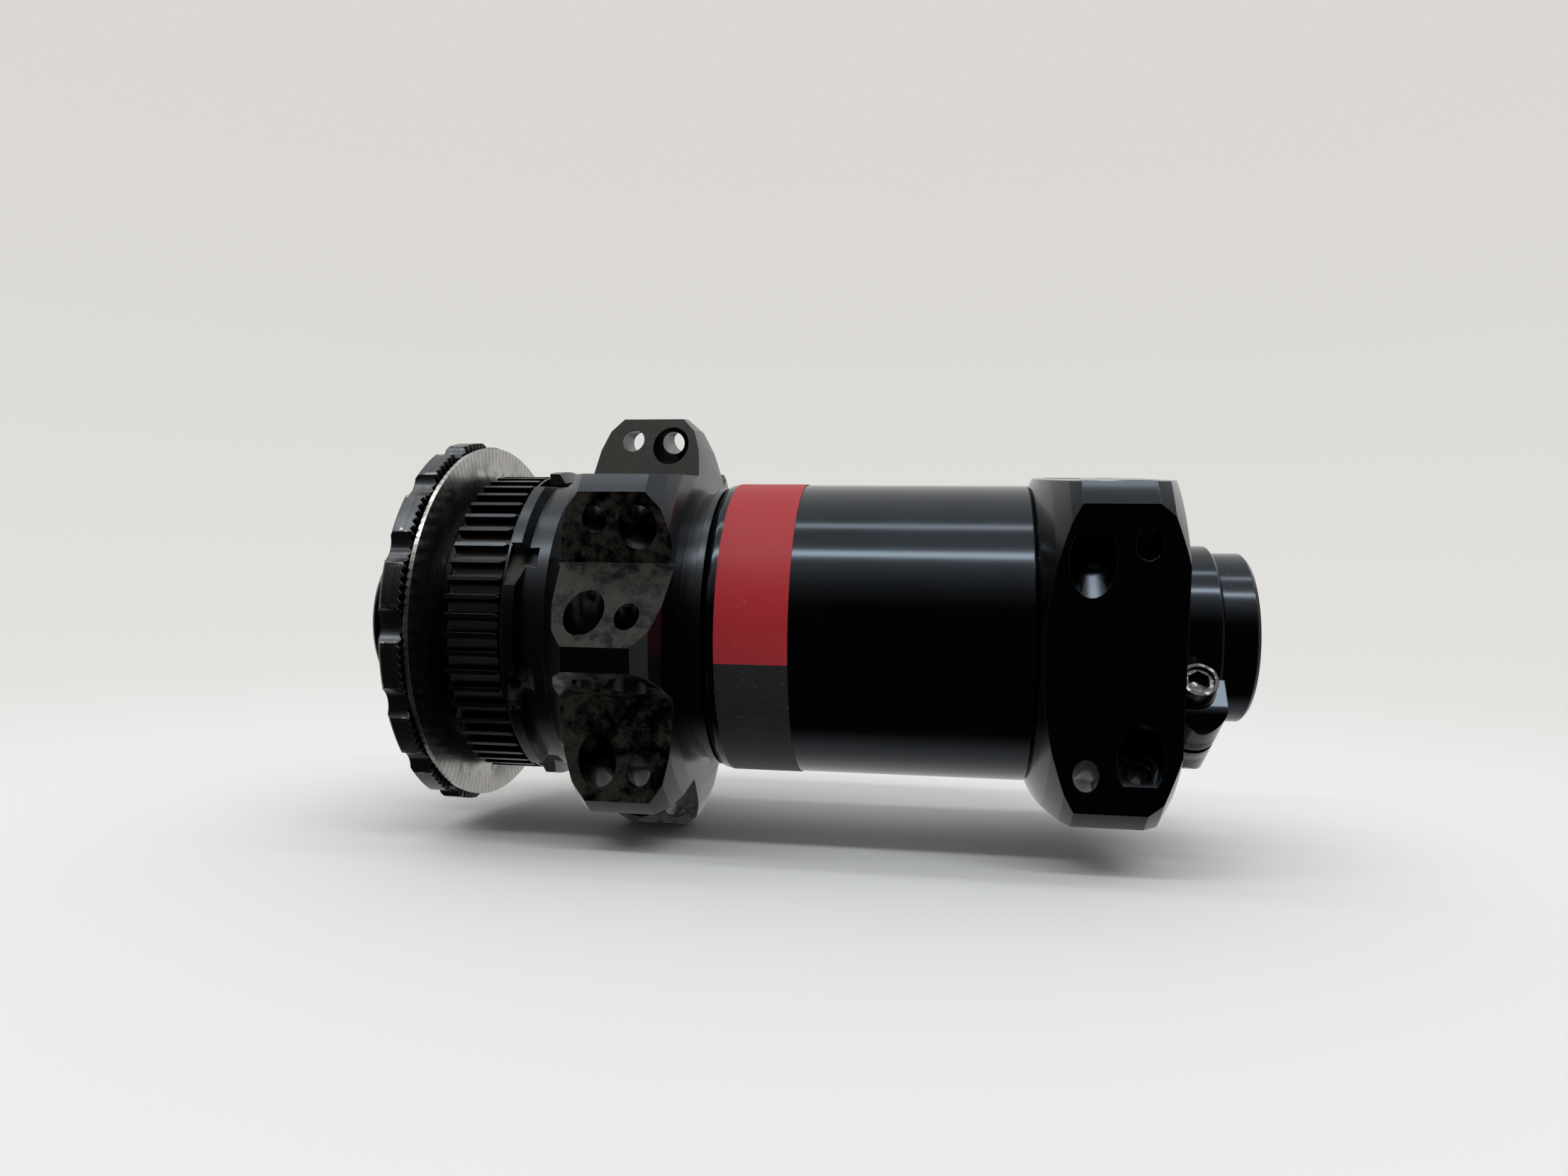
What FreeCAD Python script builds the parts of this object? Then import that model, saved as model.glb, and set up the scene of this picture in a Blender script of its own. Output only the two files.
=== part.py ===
"""Front bicycle hub, 100 mm wide for a 12 mm through axle, rotor on the -Y side.

The frame sits at the middle of the hub on the axle line: +Y runs along the axle towards the
preload collar, +Z is up and +X points forwards. Lengths are millimetres, angles degrees.
Outlines are (radius, place along Y) pairs, turned about Y.
"""
import FreeCAD, Part
import math
import os
import Sketcher

Vector = FreeCAD.Vector
ALONG_X = FreeCAD.Rotation(Vector(0, 1, 0), 90)
ALONG_Y = FreeCAD.Rotation(Vector(1, 0, 0), -90)

doc = FreeCAD.newDocument("front_hub")

# ------------------------------------------------------------------ driving dimensions

CUT_PAST = 1.0        # how far a cutter reaches past what it cuts

DIMENSIONS = [
    # whole hub
    ("hub_half_width", 50.0),        # half of the width over the end faces
    ("thru_bore", 6.05),             # radius of the bore for the 12 mm axle
    ("index_angle", 6.5),            # turn of the spoke lobes about the axle
    ("turning_gap", 0.05),           # radial clearance of parts that turn or slide on each other
    ("face_gap", 0.15),              # clearance between faces that pass each other
    ("seat_gap", 0.05),              # clearance between faces that rest on each other
    # axle tube
    ("tube_radius", 7.5),
    ("tube_recess", 1.5),            # end of the tube behind each end face
    ("shoulder_radius", 9.0),
    ("shoulder_width", 1.5),
    ("ring_seat_radius", 6.7),       # bottom of the O-ring groove
    ("ring_seat_width", 1.0),
    ("ring_inset", 2.4),             # O-ring centre behind the end face
    ("ring_cord_radius", 0.4),
    ("ring_stretch", 0.02),          # O-ring's clearance from its groove's bottom
    ("tube_chamfer", 0.3),
    # cartridge bearings
    ("bearing_outer", 14.0),
    ("bearing_width", 7.0),
    ("rotor_bearing_place", -26.5),
    ("plain_bearing_place", 36.5),
    ("ball_radius", 1.984),
    ("ball_clearance", 0.02),
    ("inner_land", 9.15),
    ("outer_land", 12.35),
    ("ball_count", 13),
    ("cage_wall", 1.6),
    ("cage_width", 4.9),
    ("seal_thickness", 0.5),
    ("seal_inset", 0.15),
    ("cover_thickness", 0.55),
    ("cover_gap", 0.1),              # from a dust cover's bore to what turns inside it
    ("seal_gap", 0.07),              # from a seal's lip to the inner race
    # hub shell
    ("barrel_radius", 17.0),
    ("barrel_bore", 15.1),
    ("barrel_start", -8.6),
    ("barrel_end", 26.4),
    ("spigot_length", 11.5),
    ("hollow_radius", 13.2),
    ("bearing_stop_radius", 11.8),
    ("bearing_stop_width", 1.5),
    ("barrel_round", 1.2),           # rounding of the barrel's rotor end
    ("barrel_edge", 0.3),            # and of its plain end
    # rotor flange
    ("rotor_rim_radius", 24.8),
    ("rotor_rim_start", -21.0),
    ("rotor_rim_end", -13.8),
    ("rotor_root_start", -23.6),
    ("rotor_root_end", -11.1),
    ("rotor_root_radius", 19.1),
    ("neck_radius", 15.9),
    ("neck_end", -9.5),
    ("neck_ring_radius", 16.6),
    ("rotor_edge_drop", 1.4),        # the rim's corners, seen in the turned outline
    ("rotor_side_drop", 3.4),
    ("rotor_edge_run", 1.2),
    ("rotor_side_run", 0.4),
    ("neck_step", 0.1),
    ("lobe_count", 8),
    ("lobe_tip_half", 3.0),          # half of the angle that a lobe keeps of the full rim
    ("valley_radius", 18.9),
    ("valley_angle", 16.5),          # from a lobe's tip to the valley after it
    ("rotor_spoke_radius", 21.7),
    ("rotor_spoke_lean", 2.0),       # turn of a hole away from the lobe's middle
    ("rotor_spoke_inner_place", -14.9),
    ("rotor_spoke_outer_place", -19.5),
    # spoke seats
    ("spoke_hole", 1.3),
    ("head_hole", 2.1),
    ("head_depth", 1.0),             # head seat's floor, before the spoke's nearest point
    ("spoke_tool_length", 10.0),
    # rotor spline and collar
    ("spline_radius", 17.9),
    ("spline_depth", 1.1),
    ("spline_count", 54),
    ("spline_start", -36.8),
    ("spline_end", -31.0),
    ("spline_gap_top", 1.55),
    ("spline_gap_floor", 0.85),
    ("run_out_ratio", 0.8),          # length of a groove's pointed end to its floor's width
    ("run_out_taper", 30.0),
    ("rim_radius", 18.5),
    ("rim_start", -29.9),
    ("rim_width", 1.2),
    ("rim_slope", 0.6),
    ("waist_radius", 17.4),
    ("waist_flare", 0.2),
    ("waist_fillet", 2.0),           # where the waist starts to rise to the flange
    ("notch_steep", 8.9),            # angle of a notch's steep wall
    ("notch_gentle", 24.2),          # angle where its gentle floor runs out on the rim
    ("notch_floor", 16.8),
    ("notch_end", -26.95),
    ("thread_radius", 15.05),
    ("thread_end", -30.9),
    # plain flange
    ("plain_rim_radius", 23.7),
    ("plain_rim_start", 30.3),
    ("plain_rim_end", 37.6),
    ("plain_face", 40.7),
    ("plain_face_radius", 21.4),
    ("plain_root_radius", 17.6),
    ("plain_edge_drop", 1.2),        # the rim's corners, seen in the turned outline
    ("plain_side_drop", 3.7),
    ("plain_face_drop", 0.8),
    ("plain_edge_run", 1.0),
    ("plain_side_run", 2.4),
    ("plain_face_run", 1.6),
    ("plain_face_edge", 0.7),
    ("plain_face_round", 1.2),
    ("plain_root_step", 0.8),
    ("plain_root_run", 0.4),
    ("flat_height", 17.8),
    ("flat_count", 4),
    ("plain_spoke_radius", 20.2),
    ("plain_spoke_lean", 7.0),       # turn of a hole away from the flange's corner
    ("plain_spoke_inner_place", 31.4),
    ("plain_spoke_outer_place", 36.7),
    ("plain_head_hole", 2.3),
    # colour band
    ("band_start", -7.0),
    ("band_end", 0.9),
    ("band_thickness", 0.1),
    ("band_red_edge", 11.5),
    # lockring and its washer
    ("lockring_radius", 22.0),
    ("lockring_face", -42.2),
    ("lockring_seat", -39.65),
    ("lockring_bore", 12.9),
    ("lockring_barrel", 15.0),
    ("lockring_barrel_end", -33.4),
    ("lockring_notches", 16),
    ("lockring_notch_radius", 2.3),
    ("lockring_notch_depth", 0.95),
    ("lockring_bore_chamfer", 0.8),
    ("lockring_edge", 0.35),
    ("lockring_lead", 0.5),          # chamfer where the thread starts
    ("thread_pitch", 1.0),
    ("thread_depth", 0.45),
    ("thread_start", -38.0),
    ("thread_turns", 4),
    ("serration_count", 140),
    ("serration_depth", 0.35),
    ("serration_width", 0.8),
    ("serration_inner", 18.2),
    ("washer_radius", 21.4),
    ("washer_bore", 15.1),
    ("washer_thickness", 0.5),
    ("washer_place", -38.4),         # middle of the washer, which hangs loose on the barrel
    ("washer_lean", 2.4),            # its front leans towards the lockring
    # end caps
    ("cap_radius", 9.5),
    ("cap_edge", 0.4),
    ("cap_flange_start", 46.3),
    ("cap_sleeve_radius", 8.7),
    ("cap_sleeve_start", 45.0),
    # preload collar
    ("shim_radius", 9.0),
    ("shim_thickness", 0.8),
    ("collar_radius", 10.3),
    ("collar_nose_length", 0.4),
    ("collar_thread_end", 44.7),
    ("collar_counterbore", 8.8),
    ("lug_angle", 56.5),
    ("lug_reach", 14.4),
    ("lug_half_length", 6.2),
    ("lug_root", 0.2),               # how deep the lug runs into the ring
    ("lug_round_share", 0.47),       # the lug's tip rounding, as a share of the collar's width
    ("collar_edge", 0.25),
    ("slit_width", 0.8),
    ("screw_place_radius", 10.4),
    ("screw_radius", 1.25),
    ("screw_head_radius", 1.9),
    ("screw_head_height", 2.1),
    ("screw_shank_length", 10.6),
    ("screw_tap_clearance", 0.05),
    ("pinch_washer_radius", 2.1),
    ("pinch_washer_thickness", 0.4),
    ("socket_radius", 1.15),
    ("socket_depth", 1.5),
    ("socket_mouth_radius", 1.5),
    ("socket_mouth_depth", 0.35),
]

sheet = doc.addObject("Spreadsheet::Sheet", "Dims")
for row, (alias, value) in enumerate(DIMENSIONS, start=1):
    sheet.set(f"A{row}", alias)
    sheet.set(f"B{row}", str(value))
    sheet.setAlias(f"B{row}", alias)
doc.recompute()


class Size:
    """A number together with the sheet expression that gives it."""

    def __init__(self, value, text):
        self.value = value
        self.text = text

    @staticmethod
    def of(other):
        return other if isinstance(other, Size) else Size(float(other), f"({other})")

    def __add__(self, other):
        other = Size.of(other)
        return Size(self.value + other.value, f"({self.text} + {other.text})")

    def __sub__(self, other):
        other = Size.of(other)
        return Size(self.value - other.value, f"({self.text} - {other.text})")

    def __mul__(self, other):
        other = Size.of(other)
        return Size(self.value * other.value, f"({self.text} * {other.text})")

    def __truediv__(self, other):
        other = Size.of(other)
        return Size(self.value / other.value, f"({self.text} / {other.text})")

    def __rsub__(self, other):
        return Size.of(other) - self

    def __rtruediv__(self, other):
        return Size.of(other) / self

    def __neg__(self):
        return Size(-self.value, f"(0 - {self.text})")

    __radd__ = __add__
    __rmul__ = __mul__


def cosine(angle):
    return Size(math.cos(math.radians(angle.value)), f"cos({angle.text})")


def sine(angle):
    return Size(math.sin(math.radians(angle.value)), f"sin({angle.text})")


class Sheet:
    """dim.alias is the Size of that cell."""

    def __getattr__(self, alias):
        return Size(float(sheet.get(alias)), f"Dims.{alias}")


dim = Sheet()
NOWHERE = Size(0.0, "0")


# ------------------------------------------------------------------ drawing helpers

def bind(thing, path, size):
    """Ties one property, named by its path, to the sheet."""
    thing.setExpression(path, Size.of(size).text)


def bind_place(thing, x=NOWHERE, y=NOWHERE, z=NOWHERE):
    for axis, size in (("x", x), ("y", y), ("z", z)):
        bind(thing, f"Placement.Base.{axis}", size)


def origin_feature(body, role):
    return next(item for item in body.Origin.OriginFeatures if item.Role == role)


def new_body(label):
    return doc.addObject("PartDesign::Body", label)


def outline_sketch(body, name, points, plane="XY_Plane", offset=None):
    """A closed outline of straight edges whose corners are tied to the sheet."""
    sketch = body.newObject("Sketcher::SketchObject", name)
    sketch.AttachmentSupport = [(origin_feature(body, plane), "")]
    sketch.MapMode = "FlatFace"
    if offset is not None:
        bind(sketch, "AttachmentOffset.Base.z", offset)
    corners = [Vector(first.value, second.value, 0) for first, second in points]
    count = len(corners)
    for index in range(count):
        edge = Part.LineSegment(corners[index], corners[(index + 1) % count])
        sketch.addGeometry(edge, False)
    for index in range(count):
        sketch.addConstraint(Sketcher.Constraint("Coincident", index, 2, (index + 1) % count, 1))
    for index, corner in enumerate(corners):
        for kind, value, size in (("DistanceX", corner.x, points[index][0]),
                                  ("DistanceY", corner.y, points[index][1])):
            number = sketch.addConstraint(Sketcher.Constraint(kind, -1, 1, index, 1, value))
            bind(sketch, f"Constraints[{number}]", size)
    return sketch


def turn_outline(body, name, points, angle=360):
    """Revolves an outline of (radius, place) points about the Y axis."""
    points = [(Size.of(radius), Size.of(place)) for radius, place in points]
    sketch = outline_sketch(body, f"{name}_section", points)
    turned = body.newObject("PartDesign::Revolution", f"{name}_turned")
    turned.Profile = sketch
    turned.ReferenceAxis = (sketch, ["V_Axis"])
    turned.Angle = angle
    body.Tip = turned
    doc.recompute()
    return turned


def ring(label, inner, outer, start, end):
    """A plain turned ring as a sub-part."""
    body = new_body(label)
    turn_outline(body, label, [(inner, start), (outer, start), (outer, end), (inner, end)])
    return body


def circular_edges(shape, spots):
    """Names of the full circles about Y at the given (radius, place) spots."""
    names = []
    for number, edge in enumerate(shape.Edges, start=1):
        if not isinstance(edge.Curve, Part.Circle):
            continue
        for radius, place in spots:
            same_radius = abs(edge.Curve.Radius - radius.value) < 1e-4
            same_place = abs(edge.Curve.Center.y - place.value) < 1e-4
            if same_radius and same_place:
                names.append(f"Edge{number}")
    return names


def soften(body, kind, spots, size):
    """Rounds or chamfers the circular edges of the body's present tip."""
    base = body.Tip
    names = circular_edges(base.Shape, spots)
    if len(names) != len(spots):
        raise RuntimeError(f"{body.Label}: {len(names)} edges found of {len(spots)}")
    feature = body.newObject(f"PartDesign::{kind}", f"{body.Name}_{kind.lower()}")
    feature.Base = (base, names)
    bind(feature, "Radius" if kind == "Fillet" else "Size", size)
    body.Tip = feature
    doc.recompute()
    return feature


def place_round(thing, angle, spot, turn=None):
    """Puts a cutter at a spot (x, y, z) seen at +X, then carries it round the axle by angle."""
    x, y, z = (Size.of(size) for size in spot)
    angle = Size.of(angle)
    rotation = FreeCAD.Rotation(Vector(0, 1, 0), angle.value)
    if turn is not None:
        rotation = rotation.multiply(turn)
    thing.Placement = FreeCAD.Placement(Vector(), rotation)
    across = x * cosine(angle) + z * sine(angle)
    upward = z * cosine(angle) - x * sine(angle)
    bind_place(thing, across, y, upward)


def cut_cylinder(body, name, radius, length, spot, turn=None, angle=0):
    """A round cutter that starts at the spot and runs along +Z, or as turned."""
    cutter = body.newObject("PartDesign::SubtractiveCylinder", name)
    bind(cutter, "Radius", radius)
    bind(cutter, "Height", length)
    place_round(cutter, angle, spot, turn)
    body.Tip = cutter
    doc.recompute()
    return cutter


def cut_box(body, name, length, width, height, spot, angle=0):
    cutter = body.newObject("PartDesign::SubtractiveBox", name)
    bind(cutter, "Length", length)
    bind(cutter, "Width", width)
    bind(cutter, "Height", height)
    place_round(cutter, angle, spot)
    body.Tip = cutter
    doc.recompute()
    return cutter


def pocket(body, name, sketch, length):
    """Cuts against the sketch's normal."""
    before = body.Tip.Shape.Volume
    feature = body.newObject("PartDesign::Pocket", name)
    feature.Profile = sketch
    bind(feature, "Length", length)
    body.Tip = feature
    doc.recompute()
    if feature.Shape.Volume > before - 1e-6:
        raise RuntimeError(f"{name} cuts nothing")
    return feature


def pattern(body, name, features, count):
    """Repeats features all round the Y axis."""
    before = body.Tip.Shape.Volume
    repeat = body.newObject("PartDesign::PolarPattern", name)
    repeat.Originals = features
    repeat.Axis = (origin_feature(body, "Y_Axis"), [""])
    repeat.Angle = 360
    bind(repeat, "Occurrences", count)
    body.Tip = repeat
    doc.recompute()
    if repeat.Shape.Volume > before - 1e-6:
        raise RuntimeError(f"{name} changes nothing")
    return repeat


def turn_about_axle(thing, angle):
    """Turns a finished sub-part about the axle, bound to the sheet."""
    thing.Placement = FreeCAD.Placement(Vector(), FreeCAD.Rotation(Vector(0, 1, 0), angle.value))
    bind(thing, "Placement.Rotation.Angle", angle)


# ------------------------------------------------------------------ derived places

tube_start = dim.tube_recess - dim.hub_half_width
tube_end = dim.hub_half_width - dim.tube_recess
rotor_bearing_start = dim.rotor_bearing_place - dim.bearing_width / 2
rotor_bearing_end = dim.rotor_bearing_place + dim.bearing_width / 2
plain_bearing_start = dim.plain_bearing_place - dim.bearing_width / 2
plain_bearing_end = dim.plain_bearing_place + dim.bearing_width / 2
shoulder_start = rotor_bearing_start - dim.shoulder_width
collar_nose_start = plain_bearing_end + dim.shim_thickness
collar_start = collar_nose_start + dim.collar_nose_length
collar_end = dim.cap_flange_start - dim.face_gap - dim.seat_gap
collar_middle = (collar_start + dim.collar_thread_end) / 2
ball_pitch = (dim.inner_land + dim.outer_land) / 2
slide_bore = dim.tube_radius + dim.turning_gap


# ------------------------------------------------------------------ axle

def make_axle_tube():
    """Turned tube with a shoulder for the rotor bearing and an O-ring groove near each end."""
    body = new_body("axle_tube")
    turn_outline(body, "tube", [
        (dim.thru_bore, tube_start),
        (dim.tube_radius, tube_start),
        (dim.tube_radius, shoulder_start),
        (dim.shoulder_radius, shoulder_start),
        (dim.shoulder_radius, rotor_bearing_start),
        (dim.tube_radius, rotor_bearing_start),
        (dim.tube_radius, tube_end),
        (dim.thru_bore, tube_end),
    ])
    for side, centre in ring_centres():
        groove = [(dim.ring_seat_radius, centre - dim.ring_seat_width / 2),
                  (dim.tube_radius + CUT_PAST, centre - dim.ring_seat_width / 2),
                  (dim.tube_radius + CUT_PAST, centre + dim.ring_seat_width / 2),
                  (dim.ring_seat_radius, centre + dim.ring_seat_width / 2)]
        sketch = outline_sketch(body, f"{side}_ring_groove_section", groove)
        cut = body.newObject("PartDesign::Groove", f"{side}_ring_groove")
        cut.Profile = sketch
        cut.ReferenceAxis = (sketch, ["V_Axis"])
        cut.Angle = 360
        body.Tip = cut
        doc.recompute()
    soften(body, "Chamfer", [(dim.tube_radius, tube_start), (dim.tube_radius, tube_end)],
           dim.tube_chamfer)
    return body


def ring_centres():
    reach = dim.hub_half_width - dim.ring_inset
    return (("rotor", -reach), ("plain", reach))


def make_cap_rings():
    """O-rings that hold the push-on end caps."""
    rings = []
    for side, centre in ring_centres():
        torus = doc.addObject("Part::Torus", f"{side}_cap_oring")
        bind(torus, "Radius2", dim.ring_cord_radius)
        bind(torus, "Radius1", dim.ring_seat_radius + dim.ring_cord_radius + dim.ring_stretch)
        torus.Placement = FreeCAD.Placement(Vector(), ALONG_Y)
        bind_place(torus, y=centre)
        rings.append(torus)
    return rings


def make_rotor_end_cap():
    """Push-on cap: a long sleeve over the tube that stops on the axle's shoulder."""
    body = new_body("rotor_end_cap")
    face = -dim.hub_half_width
    sleeve_end = shoulder_start - dim.face_gap
    turn_outline(body, "rotor_cap", [
        (dim.thru_bore, face),
        (dim.cap_radius, face),
        (dim.cap_radius, sleeve_end),
        (slide_bore, sleeve_end),
        (slide_bore, tube_start),
        (dim.thru_bore, tube_start),
    ])
    soften(body, "Chamfer", [(dim.cap_radius, face), (dim.thru_bore, face)], dim.cap_edge)
    return body


def make_plain_end_cap():
    """Push-on cap whose short sleeve runs inside the preload collar."""
    body = new_body("plain_end_cap")
    face = dim.hub_half_width
    turn_outline(body, "plain_cap", [
        (slide_bore, dim.cap_sleeve_start),
        (dim.cap_sleeve_radius, dim.cap_sleeve_start),
        (dim.cap_sleeve_radius, dim.cap_flange_start),
        (dim.cap_radius, dim.cap_flange_start),
        (dim.cap_radius, face),
        (dim.thru_bore, face),
        (dim.thru_bore, tube_end),
        (slide_bore, tube_end),
    ])
    soften(body, "Chamfer", [(dim.cap_radius, face), (dim.thru_bore, face)], dim.cap_edge)
    return body


# ------------------------------------------------------------------ cartridge bearings

def ball_ring(label, radius, centre):
    """Balls evenly round the axle, as one shape."""
    count = round(dim.ball_count.value)
    spheres = []
    for index in range(count):
        angle = 2 * math.pi * index / count
        outwards = Vector(math.cos(angle), 0, math.sin(angle))
        spheres.append(Part.makeSphere(radius.value, outwards * ball_pitch.value, outwards))
    balls = doc.addObject("Part::Feature", label)
    balls.Shape = Part.makeCompound(spheres)
    bind_place(balls, y=centre)
    return balls


def make_race(label, inner, outer, centre):
    """A race is a ring less the torus that the balls roll in."""
    blank = ring(f"{label}_blank", inner, outer, centre - dim.bearing_width / 2,
                 centre + dim.bearing_width / 2)
    track = doc.addObject("Part::Torus", f"{label}_track")
    bind(track, "Radius2", dim.ball_radius + dim.ball_clearance)
    bind(track, "Radius1", ball_pitch)
    track.Placement = FreeCAD.Placement(Vector(), ALONG_Y)
    bind_place(track, y=centre)
    race = doc.addObject("Part::Cut", label)
    race.Base = blank
    race.Tool = track
    return race


def make_bearing(side, centre):
    """Races, caged balls and a rubber seal on each face."""
    inner_race = make_race(f"{side}_inner_race", dim.tube_radius, dim.inner_land, centre)
    outer_race = make_race(f"{side}_outer_race", dim.outer_land, dim.bearing_outer, centre)
    balls = ball_ring(f"{side}_balls", dim.ball_radius, centre)
    cage_blank = ring(f"{side}_cage_blank", ball_pitch - dim.cage_wall / 2,
                      ball_pitch + dim.cage_wall / 2, centre - dim.cage_width / 2,
                      centre + dim.cage_width / 2)
    pockets = ball_ring(f"{side}_cage_pockets", dim.ball_radius + dim.turning_gap, centre)
    cage = doc.addObject("Part::Cut", f"{side}_cage")
    cage.Base = cage_blank
    cage.Tool = pockets
    seals = []
    outwards = -1 if side == "rotor" else 1
    for name, away in (("outboard", outwards), ("inboard", -outwards)):
        outside = centre + (dim.bearing_width / 2 - dim.seal_inset) * away
        inside = outside - dim.seal_thickness * away
        start, end = (inside, outside) if away > 0 else (outside, inside)
        seals.append(ring(f"{side}_{name}_seal", dim.inner_land + dim.seal_gap, dim.outer_land,
                          start, end))
    return [inner_race, outer_race, balls, cage] + seals


def make_dust_covers():
    """Pressed rings that close the bearing seats outside the bearings."""
    rotor_outside = rotor_bearing_start - dim.seat_gap
    rotor_cover = ring("rotor_dust_cover", dim.shoulder_radius + dim.cover_gap, dim.bearing_outer,
                       rotor_outside - dim.cover_thickness, rotor_outside)
    plain_inside = plain_bearing_end + dim.seat_gap
    plain_cover = ring("plain_dust_cover", dim.shim_radius + dim.cover_gap, dim.bearing_outer,
                       plain_inside, plain_inside + dim.cover_thickness)
    return [rotor_cover, plain_cover]


# ------------------------------------------------------------------ hub shell

def spoke_hole(body, name, radius, place, head_hole, spoke_up, angle):
    """One stepped tangential hole: the spoke's hole with the seat of its head behind it.

    It passes nearest the axle at the given angle, and there its spoke leaves along +Z if
    spoke_up, otherwise along -Z.
    """
    reach = dim.spoke_tool_length
    if spoke_up:
        spoke_start, head_start = -dim.head_depth, -reach
    else:
        spoke_start, head_start = -reach, dim.head_depth
    spoke = cut_cylinder(body, f"{name}_spoke_hole", dim.spoke_hole, reach + dim.head_depth,
                         (radius, place, spoke_start), angle=angle)
    head = cut_cylinder(body, f"{name}_head_seat", head_hole, reach - dim.head_depth,
                        (radius, place, head_start), angle=angle)
    return [spoke, head]


def make_rotor_flange():
    """Rotor side of the shell: spline, notched collar, eight-lobed flange, bearing seat, spigot."""
    body = new_body("rotor_side_flange")
    spigot_end = dim.barrel_start + dim.spigot_length
    turn_outline(body, "rotor_flange", [
        (dim.thread_radius, dim.spline_start),
        (dim.spline_radius, dim.spline_start),
        (dim.spline_radius, dim.rim_start),
        (dim.rim_radius, dim.rim_start),
        (dim.rim_radius, dim.rim_start + dim.rim_width),
        (dim.waist_radius, dim.rim_start + dim.rim_width + dim.rim_slope),
        (dim.waist_radius + dim.waist_flare, dim.rotor_root_start - dim.waist_fillet),
        (dim.rotor_root_radius, dim.rotor_root_start),
        (dim.rotor_rim_radius - dim.rotor_side_drop, dim.rotor_root_start + dim.rotor_side_run),
        (dim.rotor_rim_radius - dim.rotor_edge_drop, dim.rotor_root_start + dim.rotor_edge_run),
        (dim.rotor_rim_radius, dim.rotor_rim_start),
        (dim.rotor_rim_radius, dim.rotor_rim_end),
        (dim.rotor_rim_radius - dim.rotor_edge_drop, dim.rotor_root_end - dim.rotor_edge_run),
        (dim.rotor_rim_radius - dim.rotor_side_drop, dim.rotor_root_end - dim.rotor_side_run),
        (dim.rotor_root_radius, dim.rotor_root_end),
        (dim.neck_radius, dim.rotor_root_end + dim.neck_step),
        (dim.neck_radius, dim.neck_end),
        (dim.neck_ring_radius, dim.neck_end + dim.neck_step),
        (dim.neck_ring_radius, dim.barrel_start),
        (dim.barrel_bore, dim.barrel_start),
        (dim.barrel_bore, spigot_end),
        (dim.hollow_radius, spigot_end),
        (dim.hollow_radius, rotor_bearing_end + dim.bearing_stop_width),
        (dim.bearing_stop_radius, rotor_bearing_end + dim.bearing_stop_width),
        (dim.bearing_stop_radius, rotor_bearing_end),
        (dim.bearing_outer, rotor_bearing_end),
        (dim.bearing_outer, dim.thread_end),
        (dim.thread_radius, dim.thread_end),
    ])
    cut_lobes(body)
    cut_spline(body)
    cut_collar_notches(body)
    for name, place, lean in (("inner", dim.rotor_spoke_inner_place, dim.rotor_spoke_lean),
                              ("outer", dim.rotor_spoke_outer_place, -dim.rotor_spoke_lean)):
        first = spoke_hole(body, name, dim.rotor_spoke_radius, place, dim.head_hole,
                           name == "inner", lean)
        pattern(body, f"{name}_spokes", first, dim.lobe_count)
    turn_about_axle(body, dim.index_angle)
    return body


def rim_point(radius, angle):
    """A point in the X, Z plane at an angle that grows downwards from +X."""
    return (radius * cosine(angle), -(radius * sine(angle)))


def cut_lobes(body):
    """Two flats meet in the valley after each lobe: a steep one, then a long gentle one."""
    step = 360 / dim.lobe_count
    tip_end = dim.lobe_tip_half
    next_tip = step - dim.lobe_tip_half
    clear = dim.rotor_rim_radius / cosine(Size.of(step / 2 - dim.lobe_tip_half)) + CUT_PAST
    points = [
        rim_point(dim.rotor_rim_radius, tip_end),
        rim_point(dim.valley_radius, dim.valley_angle),
        rim_point(dim.rotor_rim_radius, next_tip),
        rim_point(clear, next_tip),
        rim_point(clear, tip_end),
    ]
    sketch = outline_sketch(body, "valley_section", points, "XZ_Plane",
                            CUT_PAST - dim.rotor_root_start)
    valley = pocket(body, "valley", sketch,
                    dim.rotor_root_end - dim.rotor_root_start + CUT_PAST * 1.5)
    pattern(body, "valleys", [valley], dim.lobe_count)


def cut_spline(body):
    """Flat-bottomed grooves that run out in a point before the collar."""
    half_top = dim.spline_gap_top / 2
    half_floor = dim.spline_gap_floor / 2
    slope = (half_top - half_floor) / dim.spline_depth
    floor = dim.spline_radius - dim.spline_depth
    wide = half_top + slope * CUT_PAST
    points = [
        (floor, -half_floor),
        (dim.spline_radius + CUT_PAST, -wide),
        (dim.spline_radius + CUT_PAST, wide),
        (floor, half_floor),
    ]
    sketch = outline_sketch(body, "spline_gap_section", points, "XZ_Plane", -dim.spline_start)
    gap = pocket(body, "spline_gap", sketch, dim.spline_end - dim.spline_start)
    end_sketch = outline_sketch(body, "run_out_section", points, "XZ_Plane", -dim.spline_end)
    run_out = pocket(body, "run_out", end_sketch, dim.spline_gap_floor * dim.run_out_ratio)
    bind(run_out, "TaperAngle", dim.run_out_taper)
    pattern(body, "spline", [gap, run_out], dim.spline_count)


def cut_collar_notches(body):
    """Notches in the collar's rim before each valley: a steep wall, then a floor that rises."""
    clear = dim.rim_radius + CUT_PAST
    points = [
        rim_point(dim.notch_floor, dim.notch_steep),
        rim_point(dim.rim_radius, dim.notch_gentle),
        rim_point(clear, dim.notch_gentle),
        rim_point(clear, dim.notch_steep),
    ]
    sketch = outline_sketch(body, "notch_section", points, "XZ_Plane", dim.face_gap - dim.rim_start)
    notch = pocket(body, "notch", sketch, dim.notch_end - dim.rim_start + dim.face_gap)
    pattern(body, "notches", [notch], dim.lobe_count)


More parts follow.
